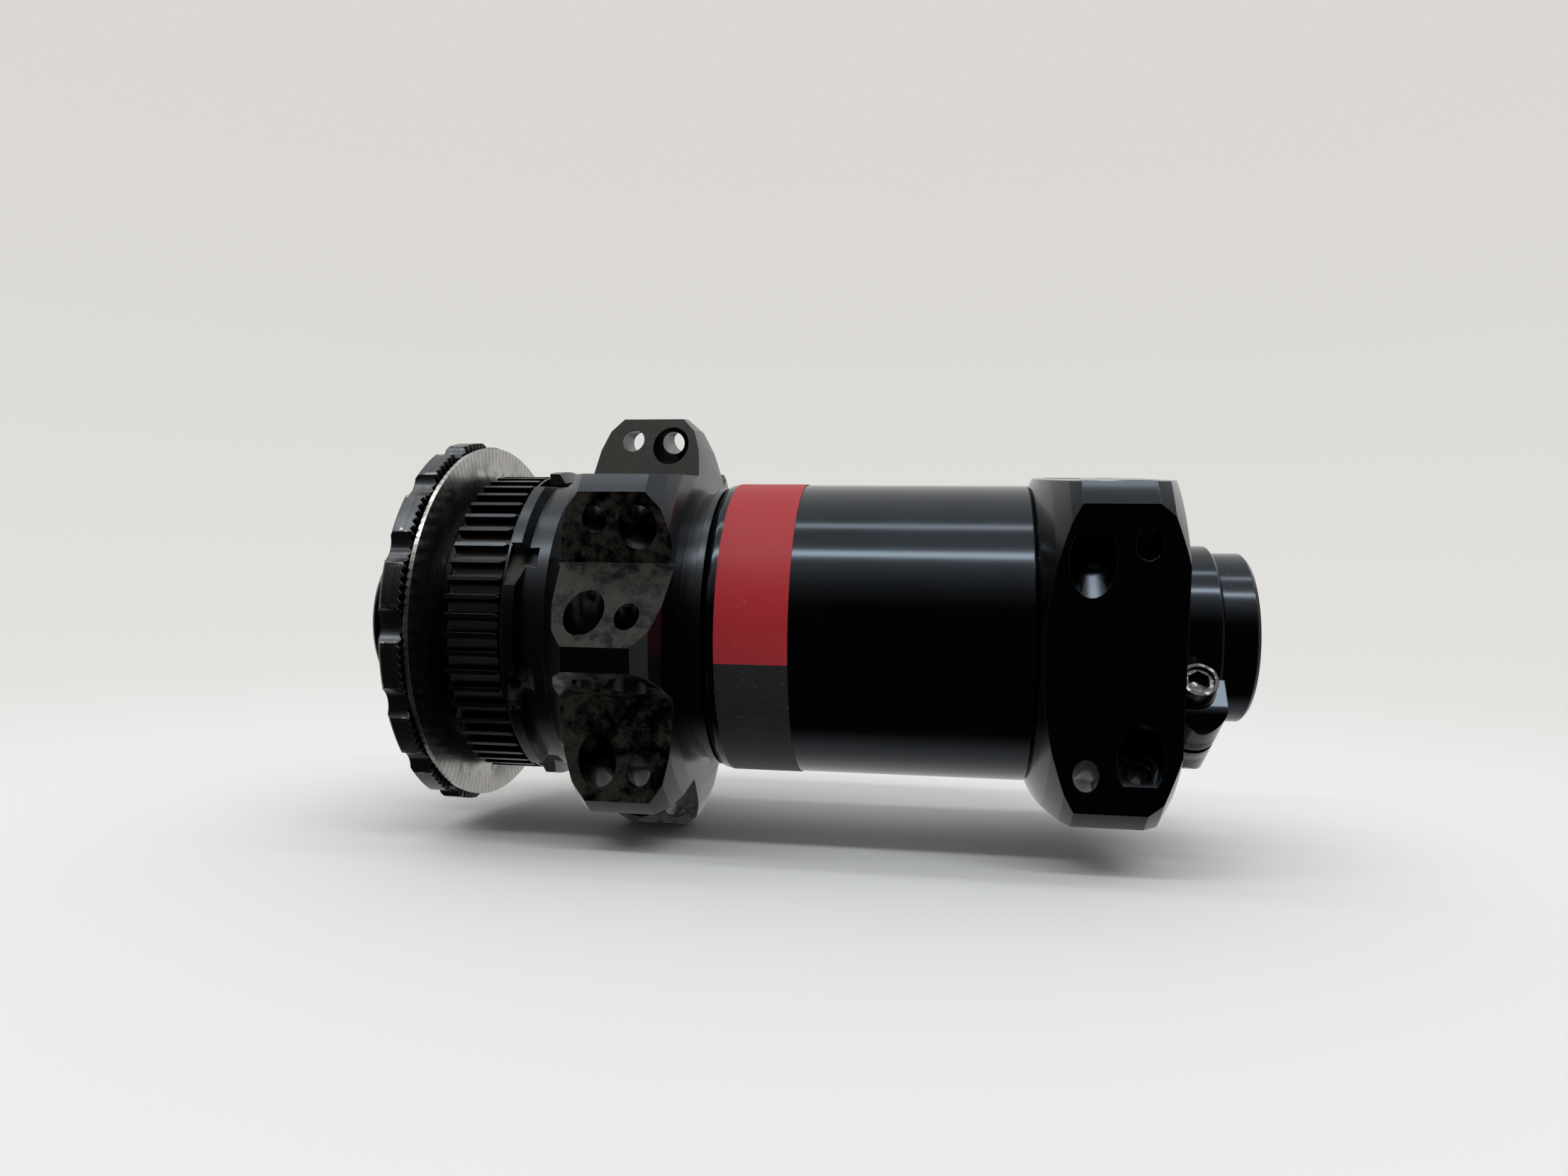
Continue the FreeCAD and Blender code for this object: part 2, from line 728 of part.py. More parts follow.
def make_barrel():
    """Plain tube bonded over both spigots."""
    body = ring("hub_barrel", dim.barrel_bore, dim.barrel_radius, dim.barrel_start,
                dim.barrel_end)
    soften(body, "Fillet", [(dim.barrel_radius, dim.barrel_start)], dim.barrel_round)
    soften(body, "Fillet", [(dim.barrel_radius, dim.barrel_end)], dim.barrel_edge)
    return body


def make_plain_flange():
    """Plain side of the shell: four flats on a turned flange, bearing seat and spigot."""
    body = new_body("plain_side_flange")
    spigot_start = dim.barrel_end - dim.spigot_length
    turn_outline(body, "plain_flange", [
        (dim.hollow_radius, spigot_start),
        (dim.barrel_bore, spigot_start),
        (dim.barrel_bore, dim.barrel_end),
        (dim.plain_root_radius - dim.plain_root_step, dim.barrel_end),
        (dim.plain_root_radius, dim.barrel_end + dim.plain_root_run),
        (dim.plain_rim_radius - dim.plain_side_drop, dim.plain_rim_start - dim.plain_side_run),
        (dim.plain_rim_radius - dim.plain_edge_drop, dim.plain_rim_start - dim.plain_edge_run),
        (dim.plain_rim_radius, dim.plain_rim_start),
        (dim.plain_rim_radius, dim.plain_rim_end),
        (dim.plain_rim_radius - dim.plain_face_drop, dim.plain_face - dim.plain_face_run),
        (dim.plain_face_radius, dim.plain_face - dim.plain_face_edge),
        (dim.plain_face_radius - dim.plain_face_round, dim.plain_face),
        (dim.bearing_outer, dim.plain_face),
        (dim.bearing_outer, plain_bearing_start),
        (dim.bearing_stop_radius, plain_bearing_start),
        (dim.bearing_stop_radius, plain_bearing_start - dim.bearing_stop_width),
        (dim.hollow_radius, plain_bearing_start - dim.bearing_stop_width),
    ])
    reach = dim.plain_rim_radius + CUT_PAST
    points = [(dim.flat_height, -reach), (reach, -reach), (reach, reach), (dim.flat_height, reach)]
    sketch = outline_sketch(body, "flat_section", points, "XZ_Plane", -dim.barrel_end)
    flat = pocket(body, "flat", sketch, dim.plain_face - dim.barrel_end + CUT_PAST)
    pattern(body, "flats", [flat], dim.flat_count)
    for number in range(round(dim.flat_count.value)):
        corner = 360 / dim.flat_count * (number + 0.5)
        for name, place, lean in (("inner", dim.plain_spoke_inner_place, dim.plain_spoke_lean),
                                  ("outer", dim.plain_spoke_outer_place, -dim.plain_spoke_lean)):
            spoke_hole(body, f"{name}_{number + 1}", dim.plain_spoke_radius, place,
                       dim.plain_head_hole, name == "inner", corner + lean)
    turn_about_axle(body, dim.index_angle)
    return body


def make_bands():
    """Two thin half rings round the barrel."""
    bands = []
    for label, start_angle in (("band_red", dim.band_red_edge - 180),
                               ("band_grey", dim.band_red_edge)):
        body = new_body(label)
        turn_outline(body, label, [
            (dim.barrel_radius, dim.band_start),
            (dim.barrel_radius + dim.band_thickness, dim.band_start),
            (dim.barrel_radius + dim.band_thickness, dim.band_end),
            (dim.barrel_radius, dim.band_end),
        ], angle=180)
        turn_about_axle(body, start_angle)
        bands.append(body)
    return bands


# ------------------------------------------------------------------ rotor lockring

def thread_outline():
    """Rings that stand for the barrel's thread: (radius, place) from the seat outwards."""
    crest, root = dim.lockring_barrel, dim.lockring_barrel - dim.thread_depth
    points = [(crest, dim.lockring_seat)]
    for turn in range(round(dim.thread_turns.value)):
        start = dim.thread_start + dim.thread_pitch * turn
        points += [(crest, start), (root, start + dim.thread_pitch / 2)]
    return points + [(crest, dim.thread_start + dim.thread_pitch * dim.thread_turns)]


def make_lockring():
    """Notched flange with a serrated inner face, on a threaded barrel that runs in the shell."""
    body = new_body("rotor_lockring")
    turn_outline(body, "lockring", [
        (dim.lockring_bore, dim.lockring_face),
        (dim.lockring_radius, dim.lockring_face),
        (dim.lockring_radius, dim.lockring_seat),
    ] + thread_outline() + [
        (dim.lockring_barrel, dim.lockring_barrel_end),
        (dim.lockring_bore, dim.lockring_barrel_end),
    ])
    soften(body, "Chamfer", [(dim.lockring_bore, dim.lockring_face)], dim.lockring_bore_chamfer)
    soften(body, "Chamfer", [(dim.lockring_radius, dim.lockring_face)], dim.lockring_edge)
    soften(body, "Chamfer", [(dim.lockring_barrel, dim.lockring_barrel_end)], dim.lockring_lead)
    notch_centre = dim.lockring_radius + dim.lockring_notch_radius - dim.lockring_notch_depth
    notch = cut_cylinder(body, "notch", dim.lockring_notch_radius,
                         dim.lockring_seat - dim.lockring_face + CUT_PAST * 2,
                         (notch_centre, dim.lockring_face - CUT_PAST, 0), ALONG_Y)
    pattern(body, "notches", [notch], dim.lockring_notches)
    half = dim.serration_width / 2
    points = [
        (dim.lockring_seat, -half),
        (dim.lockring_seat, half),
        (dim.lockring_seat - dim.serration_depth, NOWHERE),
    ]
    sketch = outline_sketch(body, "serration_section", points, "YZ_Plane", dim.serration_inner)
    serration = body.newObject("PartDesign::Pocket", "serration")
    serration.Profile = sketch
    serration.Reversed = True
    bind(serration, "Length", dim.lockring_radius)
    body.Tip = serration
    doc.recompute()
    pattern(body, "serrations", [serration], dim.serration_count)
    return body


def make_lockring_washer():
    """Flat ring that hangs loose on the lockring's barrel, so it leans a little."""
    half = dim.washer_thickness / 2
    washer = ring("lockring_washer", dim.washer_bore, dim.washer_radius, -half, half)
    lean = FreeCAD.Rotation(Vector(0, 0, -1), dim.washer_lean.value)
    washer.Placement = FreeCAD.Placement(Vector(), lean)
    bind(washer, "Placement.Rotation.Angle", dim.washer_lean)
    bind_place(washer, y=dim.washer_place)
    return washer


# ------------------------------------------------------------------ preload collar

def make_shim():
    return ring("preload_shim", slide_bore, dim.shim_radius, plain_bearing_end,
                collar_nose_start)


def make_collar():
    """Split clamp collar on the tube's thread; its lug is made at +X and then turned down."""
    body = new_body("adjusting_collar")
    turn_outline(body, "collar", [
        (slide_bore, collar_nose_start),
        (dim.shim_radius, collar_nose_start),
        (dim.shim_radius, collar_start),
        (dim.collar_radius, collar_start),
        (dim.collar_radius, collar_end),
        (dim.collar_counterbore, collar_end),
        (dim.collar_counterbore, dim.collar_thread_end),
        (slide_bore, dim.collar_thread_end),
    ])
    soften(body, "Chamfer", [(dim.collar_radius, collar_end)], dim.collar_edge)
    lug = body.newObject("PartDesign::AdditiveBox", "lug")
    lug_start = dim.collar_counterbore + dim.lug_root
    bind(lug, "Length", dim.lug_reach - lug_start)
    bind(lug, "Width", collar_end - collar_start)
    bind(lug, "Height", dim.lug_half_length * 2)
    bind_place(lug, lug_start, collar_start, -dim.lug_half_length)
    body.Tip = lug
    doc.recompute()
    outer_edges = []
    for number, edge in enumerate(lug.Shape.Edges, start=1):
        middle = edge.CenterOfMass
        at_tip = abs(middle.x - dim.lug_reach.value) < 1e-3
        if at_tip:
            outer_edges.append(f"Edge{number}")
    rounding = body.newObject("PartDesign::Fillet", "lug_rounding")
    rounding.Base = (lug, outer_edges)
    bind(rounding, "Radius", (collar_end - collar_start) * dim.lug_round_share)
    body.Tip = rounding
    doc.recompute()
    cut_cylinder(body, "screw_hole", dim.screw_radius + dim.screw_tap_clearance,
                 dim.lug_half_length * 2 + CUT_PAST * 2,
                 (dim.screw_place_radius, collar_middle, -dim.lug_half_length - CUT_PAST))
    cut_box(body, "slit", dim.lug_reach, collar_end - collar_nose_start + CUT_PAST * 2,
            dim.slit_width, (dim.thru_bore, collar_nose_start - CUT_PAST, -dim.slit_width / 2))
    turn_about_axle(body, dim.lug_angle)
    return body


def turned_to_lug(shape):
    """The screw's pieces are made on the lug at +X, then follow it round."""
    turn_about_axle(shape, dim.lug_angle)
    return shape


def make_pinch_washer():
    body = new_body("pinch_washer")
    disc = body.newObject("PartDesign::AdditiveCylinder", "disc")
    bind(disc, "Radius", dim.pinch_washer_radius)
    bind(disc, "Height", dim.pinch_washer_thickness)
    bind_place(disc, dim.screw_place_radius, collar_middle, dim.lug_half_length)
    doc.recompute()
    cut_cylinder(body, "hole", dim.screw_radius + dim.screw_tap_clearance,
                 dim.pinch_washer_thickness + CUT_PAST * 2,
                 (dim.screw_place_radius, collar_middle, dim.lug_half_length - CUT_PAST))
    return turned_to_lug(body)


def make_pinch_screw():
    """Thin-walled cap screw with a hexagon socket."""
    body = new_body("pinch_screw")
    head_seat = dim.lug_half_length + dim.pinch_washer_thickness
    head_top = head_seat + dim.screw_head_height
    head = body.newObject("PartDesign::AdditiveCylinder", "head")
    bind(head, "Radius", dim.screw_head_radius)
    bind(head, "Height", dim.screw_head_height)
    bind_place(head, dim.screw_place_radius, collar_middle, head_seat)
    shank = body.newObject("PartDesign::AdditiveCylinder", "shank")
    bind(shank, "Radius", dim.screw_radius)
    bind(shank, "Height", dim.screw_shank_length)
    bind_place(shank, dim.screw_place_radius, collar_middle, head_seat - dim.screw_shank_length)
    socket = body.newObject("PartDesign::SubtractivePrism", "socket")
    socket.Polygon = 6
    bind(socket, "Circumradius", dim.socket_radius)
    bind(socket, "Height", dim.socket_depth + CUT_PAST)
    bind_place(socket, dim.screw_place_radius, collar_middle, head_top - dim.socket_depth)
    body.Tip = socket
    doc.recompute()
    cut_cylinder(body, "socket_mouth", dim.socket_mouth_radius, dim.socket_mouth_depth + CUT_PAST,
                 (dim.screw_place_radius, collar_middle, head_top - dim.socket_mouth_depth))
    return turned_to_lug(body)


# ------------------------------------------------------------------ the whole hub

subparts = [make_axle_tube(), make_rotor_end_cap(), make_plain_end_cap()]
subparts += make_cap_rings()
subparts += make_bearing("rotor", dim.rotor_bearing_place)
subparts += make_bearing("plain", dim.plain_bearing_place)
subparts += make_dust_covers()
subparts += [make_rotor_flange(), make_barrel(), make_plain_flange()]
subparts += make_bands()
subparts += [make_lockring(), make_lockring_washer()]
subparts += [make_shim(), make_collar(), make_pinch_washer(), make_pinch_screw()]
doc.recompute()

for item in doc.Objects:
    if "Invalid" in item.State or "Error" in item.State:
        raise RuntimeError(f"{item.Label} failed: {item.State}")

os.makedirs("parts", exist_ok=True)
for subpart in subparts:
    shape = subpart.Shape
    if shape.isNull() or not shape.isValid():
        raise RuntimeError(f"{subpart.Label} has no valid shape")
    shape.exportStep(os.path.join("parts", f"{subpart.Label}.step"))
    print(f"{subpart.Label}: {len(shape.Solids)} solid(s), {shape.Volume:.1f} mm3")
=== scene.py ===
# %% [markdown]
# # A front bicycle hub, finished
#
# The hub arrives from CAD as thirty solids that already have the right shapes and places. What is
# left is what a maker's finishing room does: anodising, brushing, film, rubber, and the dust and
# wear of some months on the road. Every finish below is procedural, so it needs no pictures and
# keeps its detail at any distance.
#
# %% Load the hub from its CAD model
import math
import bpy
import numpy as np
from mathutils import Matrix, Vector


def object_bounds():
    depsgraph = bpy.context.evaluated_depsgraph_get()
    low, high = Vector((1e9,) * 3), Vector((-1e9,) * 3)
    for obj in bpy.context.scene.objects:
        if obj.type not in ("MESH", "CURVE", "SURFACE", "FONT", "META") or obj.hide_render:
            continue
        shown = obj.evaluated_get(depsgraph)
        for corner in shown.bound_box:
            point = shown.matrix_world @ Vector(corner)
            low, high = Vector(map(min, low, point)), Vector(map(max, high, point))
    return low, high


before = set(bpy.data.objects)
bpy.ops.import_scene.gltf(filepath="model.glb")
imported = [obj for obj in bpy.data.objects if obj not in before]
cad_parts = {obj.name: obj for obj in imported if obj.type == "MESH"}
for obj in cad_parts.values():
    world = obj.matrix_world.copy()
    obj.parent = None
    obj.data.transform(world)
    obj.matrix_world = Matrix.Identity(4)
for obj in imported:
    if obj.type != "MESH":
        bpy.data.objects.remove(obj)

cad_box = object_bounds()
print("CAD box in mm:", [[round(1000 * value, 1) for value in corner] for corner in cad_box])

# %% [markdown]
# ## Writing shader maths as sums
#
# A finish is a chain of small sums on numbers that change over the surface. They could be wired by
# hand in the node editor, but a few lines of Python read better: `Wire` holds one socket, and
# adding or multiplying two wires adds the Math node that does it. `Finish` is one material and has
# a single method that adds any other node.

# %% A wire that can be added and multiplied


class Wire:
    """One output socket of a finish; sums on it add Math nodes."""

    def __init__(self, finish, socket):
        self.finish = finish
        self.socket = socket

    def sum(self, operation, *others):
        values = {number: value for number, value in enumerate((self,) + others)}
        return self.finish.node("ShaderNodeMath", {"operation": operation}, values)

    def __add__(self, other):
        return self.sum("ADD", other)

    def __sub__(self, other):
        return self.sum("SUBTRACT", other)

    def __mul__(self, other):
        return self.sum("MULTIPLY", other)

    def __truediv__(self, other):
        return self.sum("DIVIDE", other)

    def __pow__(self, other):
        return self.sum("POWER", other)

    def __rsub__(self, other):
        return self.finish.node("ShaderNodeMath", {"operation": "SUBTRACT"}, {0: other, 1: self})

    __radd__ = __add__
    __rmul__ = __mul__


# %% A finish is a material with one method for any node


class Finish:
    """A material whose Principled shader is fed by wires."""

    def __init__(self, name, colour=None, **plain):
        self.material = bpy.data.materials.new(name)
        self.material.use_nodes = True
        self.tree = self.material.node_tree
        self.shader = self.tree.nodes["Principled BSDF"]
        if colour is not None:
            self.shader.inputs["Base Color"].default_value = (*colour, 1)
        for socket, value in plain.items():
            self.shader.inputs[socket.replace("_", " ")].default_value = value

    def node(self, kind, settings=None, values=None, output=0):
        """Adds a node: its settings first, then its sockets' values or links."""
        made = self.tree.nodes.new(kind)
        for setting, value in (settings or {}).items():
            if setting == "stops":
                self.set_stops(made.color_ramp, value)
            else:
                setattr(made, setting, value)
        for socket, value in (values or {}).items():
            self.feed(made.inputs[socket], value)
        return Wire(self, made.outputs[output]) if made.outputs else None

    def feed(self, socket, value):
        """Links a wire to a socket, or sets the socket's own value."""
        if isinstance(value, Wire):
            self.tree.links.new(value.socket, socket)
        elif isinstance(value, tuple) and socket.type == "RGBA":
            socket.default_value = (*value, 1)
        else:
            socket.default_value = value

    @staticmethod
    def set_stops(ramp, stops):
        while len(ramp.elements) < len(stops):
            ramp.elements.new(1)
        for element, (place, grey) in zip(ramp.elements, stops):
            element.position = place
            element.color = (grey, grey, grey, 1)

    def wear(self, **wires):
        """Feeds what changes over the surface to the shader."""
        for socket, wire in wires.items():
            self.feed(self.shader.inputs[socket.replace("_", " ")], wire)
        return self


# %% [markdown]
# ## Numbers that a turned part offers
#
# Almost every face here was cut on a lathe, so three numbers say where a point is: how far it is
# from the axle, how far along the axle, and the turn about it. Tool marks, brushing and grime all
# follow them. The pattern is read from the object's own coordinates, so it turns with the part.

# %% Where a point is on a turned part
millimetre = 0.001
micrometre = 0.000001
turn_share = 0.00002                          # metres that one radian of turn shifts the lathe's rings
mix_first, mix_second, mix_colour = 6, 7, 2   # the Mix node's two colour inputs and its colour output


def place_of(finish):
    return finish.node("ShaderNodeTexCoord", output="Object")


def turned_place(finish):
    """Distance from the axle line, place along it, and turn about it in radians."""
    place = place_of(finish)
    apart = {"Vector": place}
    x, y, z = (finish.node("ShaderNodeSeparateXYZ", values=apart, output=i) for i in range(3))
    radius = (x * x + z * z) ** 0.5
    return radius, y, z.sum("ARCTAN2", x)


def ramp_up(finish, wire, low, high):
    """0 below low, 1 above high, and a smooth step between them."""
    settings = {"interpolation_type": "SMOOTHSTEP"}
    values = {"Value": wire, "From Min": low, "From Max": high}
    return finish.node("ShaderNodeMapRange", settings, values)


def between(finish, wire, low, high, soft):
    """1 from low to high, with soft edges of the given width."""
    return ramp_up(finish, wire, low - soft, low) * (1 - ramp_up(finish, wire, high, high + soft))


def cloud(finish, scale, detail=3, stretch=None, roughness=0.55):
    """Soft noise from 0 to 1; the scale is in cells to a metre, and stretch squeezes x, y and z."""
    place = place_of(finish)
    if stretch is not None:
        place = finish.node("ShaderNodeVectorMath", {"operation": "MULTIPLY"}, {0: place, 1: stretch})
    values = {"Vector": place, "Scale": scale, "Detail": detail, "Roughness": roughness}
    return finish.node("ShaderNodeTexNoise", values=values)


def lathe_lines(finish, scale, detail=2):
    """Fine rings: noise on the distance from the axle and the place along it, hardly on the turn."""
    radius, along, turn = turned_place(finish)
    rings = finish.node("ShaderNodeCombineXYZ", values={0: radius, 1: along, 2: turn * turn_share})
    values = {"Vector": rings, "Scale": scale, "Detail": detail}
    return finish.node("ShaderNodeTexNoise", values=values)


def tint(finish, amount, first, second):
    """A colour between two, chosen by the amount."""
    return finish.node("ShaderNodeMix", {"data_type": "RGBA"},
                       {"Factor": amount, mix_first: first, mix_second: second}, output=mix_colour)

# %% [markdown]
# ## Round faces that stay round
#
# The solids come as triangles, so a large cone shows faint flat bands. On a turned face the true
# normal points straight out from the axle, tipped along it, so the finish can work it out and lean
# the light that way. A mask leaves the milled flats and the holes as they are. The Bevel node
# rounds sharp corners by a tenth of a millimetre, as tumbling does, so they catch the light.

# %% Normals of turned faces
turned_lean = (0.006, 0.012)      # a turned face's normal leans off the radius by less than this
bevel_samples = 6


def lean_of(finish):
    """The normal, its reach across the axle, how much of that points outwards, and where outwards is."""
    normal = finish.node("ShaderNodeTexCoord", output="Normal")
    parts = {"Vector": normal}
    nx, ny, nz = (finish.node("ShaderNodeSeparateXYZ", values=parts, output=i) for i in range(3))
    apart = {"Vector": place_of(finish)}
    x, z = (finish.node("ShaderNodeSeparateXYZ", values=apart, output=i) for i in (0, 2))
    radius = (x * x + z * z) ** 0.5
    outwards_x, outwards_z = x / radius, z / radius
    across = (nx * nx + nz * nz) ** 0.5
    straight = nx * outwards_x + nz * outwards_z
    return normal, ny, across, straight, outwards_x, outwards_z


def rounded(finish, edge):
    """The bevelled normal, turned to the true cone or cylinder where the face was turned."""
    normal, ny, across, straight, outwards_x, outwards_z = lean_of(finish)
    turned = 1 - ramp_up(finish, across - straight.sum("ABSOLUTE"), *turned_lean)
    reach = across * straight.sum("SIGN")
    true_parts = {0: outwards_x * reach, 1: ny, 2: outwards_z * reach}
    true_normal = finish.node("ShaderNodeCombineXYZ", values=true_parts)
    change = finish.node("ShaderNodeVectorMath", {"operation": "SUBTRACT"},
                         {0: true_normal, 1: normal})
    change = finish.node("ShaderNodeVectorMath", {"operation": "SCALE"}, {0: change, "Scale": turned})
    to_world = {"vector_type": "VECTOR", "convert_from": "OBJECT", "convert_to": "WORLD"}
    change = finish.node("ShaderNodeVectorTransform", to_world, {"Vector": change})
    bevelled = finish.node("ShaderNodeBevel", {"samples": bevel_samples}, {"Radius": edge})
    both = finish.node("ShaderNodeVectorMath", {"operation": "ADD"}, {0: bevelled, 1: change})
    return finish.node("ShaderNodeVectorMath", {"operation": "NORMALIZE"}, {0: both})


def raised(finish, height, distance, strength=1.0, edge=0.0):
    """A normal from a height; edge rounds the part's sharp corners by that radius."""
    values = {"Height": height, "Distance": distance, "Strength": strength}
    if edge:
        values["Normal"] = rounded(finish, edge)
    return finish.node("ShaderNodeBump", values=values)


# %% [markdown]
# ## Polished black anodising
#
# The barrel, the right-hand flange, the collar and the caps are turned smooth, polished, dyed black
# and sealed. The film reflects a few percent, coolly tinted, and turns almost white at a glancing
# angle. A metal shader with a very dark colour does exactly that: its colour is its reflection face
# on. Handling leaves faint smears, dust and hairline scratches, so the roughness and the normal
# change a little from place to place.

# %% Polished black


def polished_black(name, edge=0.12 * millimetre, smear=0.10, base=0.10):
    """Base is the roughness of a clean spot, and smear is what a smear adds to it."""
    finish = Finish(name, Metallic=1.0)
    smears = cloud(finish, 90, 4)
    scratches = cloud(finish, 700, 5, stretch=(1, 9, 1), roughness=0.75)
    dust = ramp_up(finish, cloud(finish, 5200, 1), 0.745, 0.78) * ramp_up(finish, smears, 0.35, 0.7)
    lines = lathe_lines(finish, 5200)
    clean, smeared, dusty = (0.026, 0.031, 0.037), (0.040, 0.045, 0.051), (0.20, 0.19, 0.17)
    colour = tint(finish, dust * 0.5, tint(finish, smears, clean, smeared), dusty)
    roughness = base + smear * smears + 0.25 * dust
    height = lines * 0.3 + scratches * 0.5
    normal = raised(finish, height, 0.9 * micrometre, 0.5, edge)
    return finish.wear(Base_Color=colour, Roughness=roughness, Normal=normal)


polished = polished_black("polished_black_anodising")
cap_polish = polished_black("end_cap_anodising", edge=0.15 * millimetre, smear=0.08, base=0.12)
print("finishes so far:", [finish.material.name for finish in (polished, cap_polish)])

# %% [markdown]
# ## The rotor side: satin black with road dust in the milled pockets
#
# One forging carries the spline, the notched collar and the eight lobes. Its turned faces are satin
# black. The flats between the lobes were milled, which leaves a ripple from the cutter, and the
# spokes keep cloths away from them, so brown dust stays there. A mask finds them: on a turned face
# the normal points straight out from the axle or along it, and on a milled flat it doesn't.

# %% A mask for milled flats
milled_lean = (0.008, 0.03)       # a milled flat's normal leans off the radius by more than this
milled_across = (0.9, 0.98)       # and still points mostly across the axle


def milled(finish):
    """1 where the face's normal leans away from the direction out from the axle."""
    across, straight = lean_of(finish)[2:4]
    leaning = ramp_up(finish, across - straight, *milled_lean)
    return leaning * ramp_up(finish, across, *milled_across)


# %% Satin black with dusty flats
spline_span = (-36.9 * millimetre, -31.1 * millimetre)      # along the axle, as all the spans are
notch_span = (-30.1 * millimetre, -24.5 * millimetre)
lobe_span = (-23.6 * millimetre, -10.8 * millimetre)
groove_floor = (16.85 * millimetre, 17.25 * millimetre)     # from the axle: below the first is dust
above_neck = (18.2 * millimetre, 18.6 * millimetre)         # from the axle: above the second is a lobe
cutter_step = 0.22 * millimetre                             # from one ripple of the milling to the next


def rotor_side_black():
    """Black satin with brown dust on the flats and in the grooves, which takes the metal's gloss away."""
    finish = Finish("rotor_side_anodising", Specular_IOR_Level=0.2)
    flats = milled(finish)
    radius, along = turned_place(finish)[:2]
    in_spline = between(finish, along, *spline_span, 0.1 * millimetre)
    groove = in_spline * (1 - ramp_up(finish, radius, *groove_floor))
    outer = ramp_up(finish, radius, *above_neck)
    on_lobes = outer * between(finish, along, *lobe_span, 0.4 * millimetre)
    in_notch = between(finish, along, *notch_span, 0.3 * millimetre) * (1 - outer)
    patchy = ramp_up(finish, cloud(finish, 330, 6, roughness=0.75), 0.40, 0.60)
    dusty = flats * patchy * ramp_up(finish, on_lobes + in_notch, 0.2, 0.8)
    grit = ramp_up(finish, cloud(finish, 3600, 2), 0.56, 0.70)
    satin, satin_worn = (0.034, 0.038, 0.043), (0.052, 0.056, 0.060)
    milled_black, groove_dust = (0.005, 0.005, 0.005), (0.060, 0.057, 0.049)
    brown_dark, brown_light = (0.020, 0.016, 0.010), (0.070, 0.055, 0.034)
    film = tint(finish, cloud(finish, 120, 3), satin, satin_worn)
    film = tint(finish, flats * 0.85, film, milled_black)
    brown = tint(finish, cloud(finish, 900, 4), brown_dark, brown_light)
    colour = tint(finish, dusty * (0.50 + 0.5 * grit), film, brown)
    colour = tint(finish, groove * 0.8, colour, groove_dust)
    ripple = (along * (2 * math.pi / cutter_step)).sum("SINE")
    ripple_patch = ramp_up(finish, cloud(finish, 260, 2), 0.40, 0.55) * on_lobes * flats
    spline_worn = in_spline * cloud(finish, 2600, 4, stretch=(1, 0.25, 1))
    height = (lathe_lines(finish, 4200) * 0.8 + ripple * ripple_patch * 1.6
              + grit * dusty * 4.0 + spline_worn * 1.2)
    roughness = 0.20 + 0.14 * cloud(finish, 150, 3) + 0.34 * dusty + 0.16 * groove
    metal = 1 - 0.9 * dusty - 0.4 * groove
    normal = raised(finish, height, 2.0 * micrometre, 0.8, 0.10 * millimetre)
    return finish.wear(Base_Color=colour, Roughness=roughness, Metallic=metal, Normal=normal)


rotor_black = rotor_side_black()

# %% [markdown]
# ## The lockring: worn where a spanner bites
#
# The ring spanner's lugs land in sixteen scalloped notches, so the anodising has gone from their
# corners and bare aluminium shows. The notches sit at a known pitch, so folding the turn about the
# axle into one pitch says how near a point is to a corner, and broken noise keeps the wear from
# looking drawn.

# %% Lockring with worn notch corners and painted shade in its recess
notch_count = 16
half_pitch = math.pi / notch_count
notch_corner = 0.091              # turn from a notch's middle to its corner, in radians
corner_wear = (0.004, 0.022)      # the wear fades out between these turns from the corner
lockring_rim = (20.7 * millimetre, 21.5 * millimetre)
# The recess round the bore gets painted shade, darker than the rest of the film.
lockring_shaded_recess = (10.0 * millimetre, 15.2 * millimetre)


def lockring_black():
    """Brushed black with bare metal at the corners of the notches, and painted shade in the recess round
    the bore.
    """
    finish = Finish("lockring_anodising", Metallic=1.0)
    radius, _, turn = turned_place(finish)
    from_middle = turn.sum("WRAP", half_pitch, -half_pitch).sum("ABSOLUTE")
    corner = 1 - ramp_up(finish, (from_middle - notch_corner).sum("ABSOLUTE"), *corner_wear)
    outside = ramp_up(finish, radius, *lockring_rim)
    broken = ramp_up(finish, cloud(finish, 1500, 4), 0.46, 0.60)
    rubbed = ramp_up(finish, cloud(finish, 800, 5, roughness=0.7), 0.60, 0.72)
    worn = outside * ramp_up(finish, corner * broken + rubbed * 0.35, 0.25, 0.8)
    scuffs = ramp_up(finish, cloud(finish, 1900, 6, stretch=(1, 1, 0.3), roughness=0.8), 0.56, 0.66)
    brushed = lathe_lines(finish, 2600, 4)
    black, ridge, scuffed = (0.036, 0.037, 0.039), (0.105, 0.107, 0.110), (0.20, 0.20, 0.20)
    recess_painted_shade, bare = (0.025, 0.026, 0.028), (0.34, 0.34, 0.33)
    film = tint(finish, brushed, black, ridge)
    film = tint(finish, scuffs * 0.45, film, scuffed)
    # Painted shade: the recess round the bore is coloured darker than the rest of the film.
    painted_shade_in_recess = between(finish, radius, *lockring_shaded_recess, 0.2 * millimetre)
    film = tint(finish, painted_shade_in_recess, film, recess_painted_shade)
    colour = tint(finish, worn * 0.7, film, bare)
    roughness = 0.24 + 0.16 * cloud(finish, 240, 3) - 0.08 * worn
    height = cloud(finish, 2400, 4) * 0.6 + worn * 0.9 + brushed * 0.8
    normal = raised(finish, height, 4.5 * micrometre, 0.8, 0.14 * millimetre)
    return finish.wear(Base_Color=colour, Roughness=roughness, Normal=normal)


lockring_finish = lockring_black()
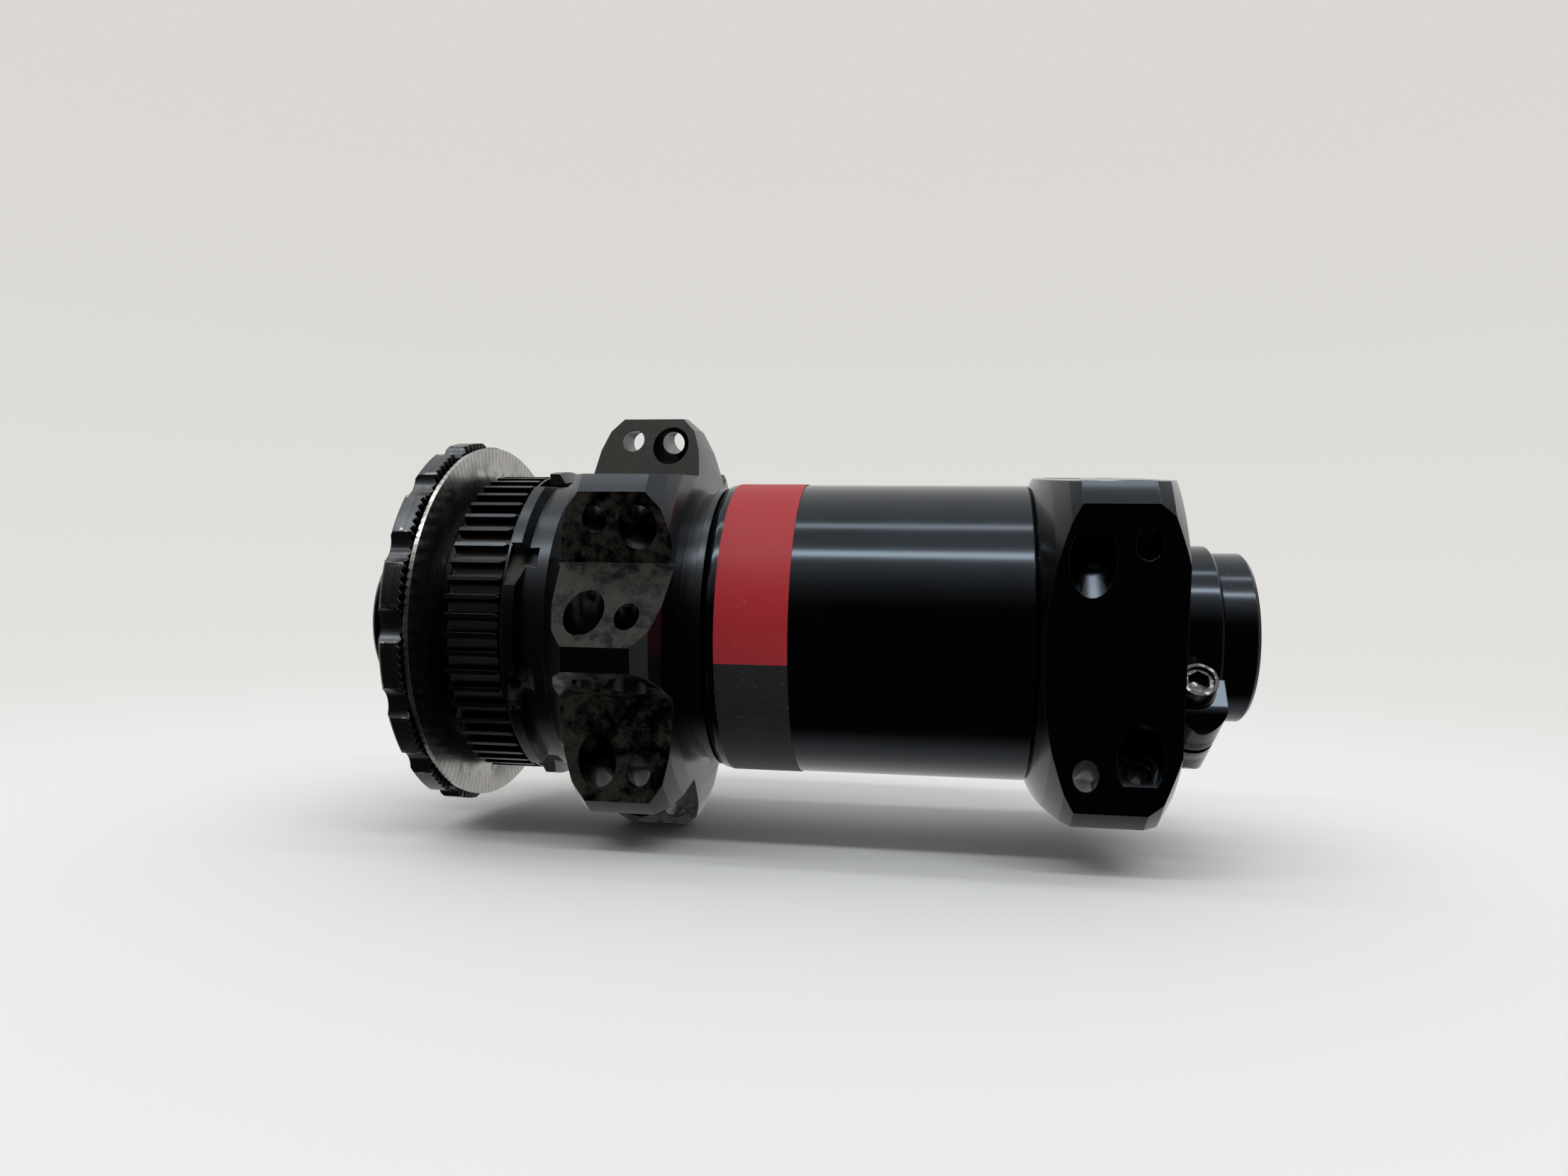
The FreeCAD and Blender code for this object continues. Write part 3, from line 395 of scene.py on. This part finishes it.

# %% [markdown]
# ## Bare metal: washers, bearing steel and the screw
#
# The lockring's washer is bright rolled steel with fine brushing round the axle, patchy painted
# shade towards its bore and the prints of the lockring's teeth near its rim. The bearing's races
# and balls are ground, and the screw's black oxide has rubbed off its rim.

# %% Brushed washer with tooth prints
tooth_count = 140
print_span = (18.8 * millimetre, 19.6 * millimetre)         # from the axle: prints start here
bore_shade_span = (17.5 * millimetre, 21.2 * millimetre)        # from the axle: the painted shade thins out over this


def brushed_steel(name, tooth_prints=False):
    """Bright rolled steel; the lockring's washer also has patchy painted shade towards its bore and the
    prints of the teeth.
    """
    finish = Finish(name, Metallic=1.0)
    radius, _, turn = turned_place(finish)
    brushing = lathe_lines(finish, 7000, 3)
    streaks = cloud(finish, 420, 4, stretch=(1, 0.2, 0.3))
    dull, bright = (0.40, 0.385, 0.36), (0.60, 0.58, 0.54)
    painted_bore_shade, printed = (0.055, 0.052, 0.046), (0.16, 0.155, 0.145)
    colour = tint(finish, streaks, dull, bright)
    roughness = 0.16 + 0.14 * streaks
    height = brushing
    if tooth_prints:
        waves = (turn * tooth_count).sum("SINE")
        prints = ramp_up(finish, waves, 0.1, 0.9) * ramp_up(finish, radius, *print_span)
        # Painted shade: patchy darkening towards the bore, beside the spline's end.
        painted_shade_patches = ramp_up(finish, cloud(finish, 300, 6, roughness=0.7), 0.42, 0.62)
        painted_shade_patches = painted_shade_patches * (1 - ramp_up(finish, radius, *bore_shade_span) * 0.85)
        colour = tint(finish, painted_shade_patches * 0.8, colour, painted_bore_shade)
        colour = tint(finish, prints * 0.35, colour, printed)
        roughness = roughness + 0.14 * painted_shade_patches
        height = brushing + prints * 2.0
    normal = raised(finish, height, 1.6 * micrometre, 0.8, 0.05 * millimetre)
    return finish.wear(Base_Color=colour, Roughness=roughness, Normal=normal)


washer_finish = brushed_steel("washer_steel", tooth_prints=True)
shim_finish = brushed_steel("shim_steel")

# %% Ground bearing steel and worn black oxide


def ground_steel():
    finish = Finish("bearing_steel", Metallic=1.0)
    lines = lathe_lines(finish, 9000)
    grey, bright = (0.56, 0.56, 0.57), (0.68, 0.68, 0.69)
    colour = tint(finish, lines, grey, bright)
    normal = raised(finish, lines, 0.8 * micrometre, 0.5, 0.08 * millimetre)
    return finish.wear(Base_Color=colour, Roughness=0.10 + 0.08 * lines, Normal=normal)


def oxide_screw():
    finish = Finish("screw_oxide", Metallic=1.0)
    worn = ramp_up(finish, cloud(finish, 1300, 3), 0.50, 0.66)
    oxide, bare = (0.030, 0.029, 0.028), (0.15, 0.145, 0.135)
    colour = tint(finish, worn, oxide, bare)
    height = cloud(finish, 3000, 2)
    normal = raised(finish, height, 0.8 * micrometre, 0.4, 0.14 * millimetre)
    return finish.wear(Base_Color=colour, Roughness=0.26 - 0.06 * worn, Normal=normal)


bearing_finish = ground_steel()
screw_finish = oxide_screw()

# %% [markdown]
# ## Film, rubber and nylon
#
# The band round the barrel is a thin printed film, half of it red and half of it charcoal. Film
# isn't metal: it scatters most of its light and has a soft gloss over that. Rubber seals are matt,
# and the ball cages are nylon.

# %% Printed film for the band


def film(name, colour, shade):
    finish = Finish(name, Coat_Roughness=0.24, Specular_IOR_Level=0.28)
    mottle = cloud(finish, 420, 4)
    specks = ramp_up(finish, cloud(finish, 4200, 1), 0.74, 0.77)
    body = tint(finish, mottle, shade, colour)
    dust = (0.45, 0.42, 0.40)
    dusted = tint(finish, specks * 0.35, body, dust)
    orange_peel = cloud(finish, 2600, 2)
    normal = raised(finish, orange_peel, 3.0 * micrometre, 0.5, 0.03 * millimetre)
    roughness = 0.46 + 0.12 * mottle
    return finish.wear(Base_Color=dusted, Roughness=roughness, Coat_Weight=0.05 * mottle, Normal=normal)


red_film = film("band_red_film", colour=(0.40, 0.020, 0.026), shade=(0.34, 0.015, 0.020))
grey_film = film("band_grey_film", colour=(0.024, 0.024, 0.025), shade=(0.017, 0.017, 0.018))

# %% Rubber seals and nylon cages


def rubber():
    finish = Finish("seal_rubber")
    grain = cloud(finish, 3000, 3)
    black, grey = (0.012, 0.012, 0.013), (0.028, 0.028, 0.030)
    colour = tint(finish, grain, black, grey)
    normal = raised(finish, grain, 6.0 * micrometre, 0.5)
    return finish.wear(Base_Color=colour, Roughness=0.55 + 0.2 * grain, Normal=normal)


def nylon():
    finish = Finish("cage_nylon")
    mottle = cloud(finish, 700, 3)
    tan, cream = (0.50, 0.43, 0.30), (0.66, 0.60, 0.46)
    colour = tint(finish, mottle, tan, cream)
    normal = raised(finish, cloud(finish, 4000, 2), 4.0 * micrometre, 0.5)
    return finish.wear(Base_Color=colour, Roughness=0.40 + 0.15 * mottle, Normal=normal)


rubber_finish = rubber()
nylon_finish = nylon()

# %% [markdown]
# ## Handing the finishes out
#
# A CAD solid keeps its own mesh. Only its material slot changes.

# %% One finish for each solid
finished_with = {
    polished: ["hub_barrel", "plain_side_flange", "adjusting_collar",
               "plain_dust_cover", "rotor_dust_cover"],
    cap_polish: ["rotor_end_cap", "plain_end_cap", "axle_tube"],
    rotor_black: ["rotor_side_flange"],
    lockring_finish: ["rotor_lockring"],
    washer_finish: ["lockring_washer"],
    shim_finish: ["preload_shim"],
    screw_finish: ["pinch_screw", "pinch_washer"],
    red_film: ["band_red"],
    grey_film: ["band_grey"],
    rubber_finish: ["rotor_cap_oring", "plain_cap_oring"],
    bearing_finish: [],
    nylon_finish: [],
}
for side in ("rotor", "plain"):
    finished_with[bearing_finish] += [f"{side}_inner_race", f"{side}_outer_race", f"{side}_balls"]
    finished_with[nylon_finish] += [f"{side}_cage"]
    finished_with[rubber_finish] += [f"{side}_outboard_seal", f"{side}_inboard_seal"]
for finish, names in finished_with.items():
    for name in names:
        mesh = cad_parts[name].data
        mesh.materials.clear()
        mesh.materials.append(finish.material)
unfinished = set(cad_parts) - {name for names in finished_with.values() for name in names}
print("solids without a finish:", sorted(unfinished))

# %% [markdown]
# ## Floor, light and camera
#
# A pale disc stands for the floor and fades into a background of the same paleness, so no horizon
# crosses the hub. Black gloss shows nothing but what it reflects, so the light is drawn with that
# in mind: a broad bright sky above and behind, two long strips overhead for the crisp lines along
# the barrel, and darkness on the side of the camera.

# %% Pale floor that fades out
floor_radius = 1.2
floor_height = cad_box[0].z
fade_start, fade_end = 0.07, 0.30     # metres from the hub's middle
rings, sectors = 24, 96
crowding = 1.5                        # above 1 the rings are closer together near the hub
reach = np.repeat(np.linspace(0, 1, rings) ** crowding * floor_radius, sectors)
turns = np.tile(np.linspace(0, 2 * np.pi, sectors, endpoint=False), rings)
heights = np.full(reach.size, floor_height)
points = np.stack([reach * np.cos(turns), reach * np.sin(turns), heights], axis=1)
ring, step = np.meshgrid(np.arange(rings - 1), np.arange(sectors), indexing="ij")
ahead = (step + 1) % sectors
inner, outer = ring * sectors, (ring + 1) * sectors
faces = np.stack([inner + step, outer + step, outer + ahead, inner + ahead], axis=-1).reshape(-1, 4)
floor_mesh = bpy.data.meshes.new("floor")
floor_mesh.from_pydata(points.tolist(), [], faces.tolist())
floor = bpy.data.objects.new("floor", floor_mesh)
bpy.context.scene.collection.objects.link(floor)
floor.visible_glossy = False

floor_finish = Finish("pale_floor", colour=(0.73, 0.725, 0.71), Roughness=0.9)
spot = {"Vector": place_of(floor_finish)}
floor_x, floor_y = (floor_finish.node("ShaderNodeSeparateXYZ", values=spot, output=i) for i in (0, 1))
from_hub = (floor_x * floor_x + floor_y * floor_y) ** 0.5
floor_finish.wear(Alpha=1 - ramp_up(floor_finish, from_hub, fade_start, fade_end))
floor_mesh.materials.append(floor_finish.material)
print("floor at", round(1000 * floor_height, 1), "mm")

# %% Sky: pale to the camera, shaped for the reflections
world = bpy.data.worlds.new("studio")
bpy.context.scene.world = world
world.use_nodes = True


class Sky(Finish):
    """The world's nodes, written the same way as a finish."""

    def __init__(self, tree):
        self.tree = tree
        self.tree.nodes.clear()


sky = Sky(world.node_tree)
direction = {"Vector": sky.node("ShaderNodeTexCoord", output="Generated")}
east, north, up = (sky.node("ShaderNodeSeparateXYZ", values=direction, output=i) for i in range(3))
round_hub = up.sum("ARCTAN2", east) / (2 * math.pi) + 0.5
# Brightness by the angle round the hub: 0 is level towards the camera, 90 overhead and -90 below.
brightness_at = {-180: 0.62, -130: 0.62, -114: 0.50, -102: 0.42, -84: 0.02, 20: 0.02, 34: 0.18,
                 46: 0.50, 58: 0.88, 98: 0.90, 112: 1.00, 136: 0.82, 180: 0.66}
stops = [(degrees / 360 + 0.5, brightness) for degrees, brightness in brightness_at.items()]
dome = sky.node("ShaderNodeValToRGB", {"stops": stops}, {"Fac": round_hub})
to_the_sides = ramp_up(sky, north.sum("ABSOLUTE"), 0.55, 0.95)
side_colour = (0.36, 0.34, 0.31)
low_backdrop, high_backdrop = (0.80, 0.805, 0.78), (0.71, 0.69, 0.655)
lit = tint(sky, to_the_sides, dome, side_colour)
backdrop = tint(sky, ramp_up(sky, up, -0.4, 0.4), low_backdrop, high_backdrop)
seen = sky.node("ShaderNodeLightPath", output="Is Camera Ray")
colour = tint(sky, seen, lit, backdrop)
background = sky.node("ShaderNodeBackground", values={"Color": colour, "Strength": 1.0})
sky.node("ShaderNodeOutputWorld", values={"Surface": background})

# %% Strip lights overhead
strip_distance = 1.5
strip_length = 3.0


def strip_light(name, elevation, width, radiance, colour):
    """A long lamp along the axle's direction, at an elevation seen from the hub, facing it."""
    lamp = bpy.data.lights.new(name, "AREA")
    lamp.shape = "RECTANGLE"
    lamp.size, lamp.size_y = strip_length, width
    lamp.energy = radiance * math.pi * strip_length * width
    lamp.color = colour
    holder = bpy.data.objects.new(name, lamp)
    angle = math.radians(elevation)
    away = Vector((math.cos(angle), 0, math.sin(angle)))
    side = Vector((0, 1, 0))
    holder.matrix_world = Matrix((side, away.cross(side), away)).transposed().to_4x4()
    holder.location = away * strip_distance
    bpy.context.scene.collection.objects.link(holder)


strip_light("strip_front", elevation=61, width=0.12, radiance=12.0, colour=(0.90, 0.96, 1.0))
strip_light("strip_behind", elevation=88, width=0.11, radiance=6.0, colour=(0.93, 0.97, 1.0))

# %% Camera at the height of the axle, close in and turned a little to the left
camera_data = bpy.data.cameras.new("camera")
camera_data.sensor_width = 36.0
camera_data.lens = 24.04
camera_data.clip_start = 0.005
camera = bpy.data.objects.new("camera", camera_data)
bpy.context.scene.collection.objects.link(camera)
look_right = Vector((-0.1460, 0.9891, 0.0176)).normalized()
look_back = look_right.cross(Vector((0.0, -0.0176, 0.9998))).normalized()
look_up = look_back.cross(look_right)
camera.matrix_world = Matrix((look_right, look_up, look_back)).transposed().to_4x4()
camera.location = (0.1250, 0.0164, 0.0050)
bpy.context.scene.camera = camera
bpy.context.scene.view_settings.view_transform = "Standard"
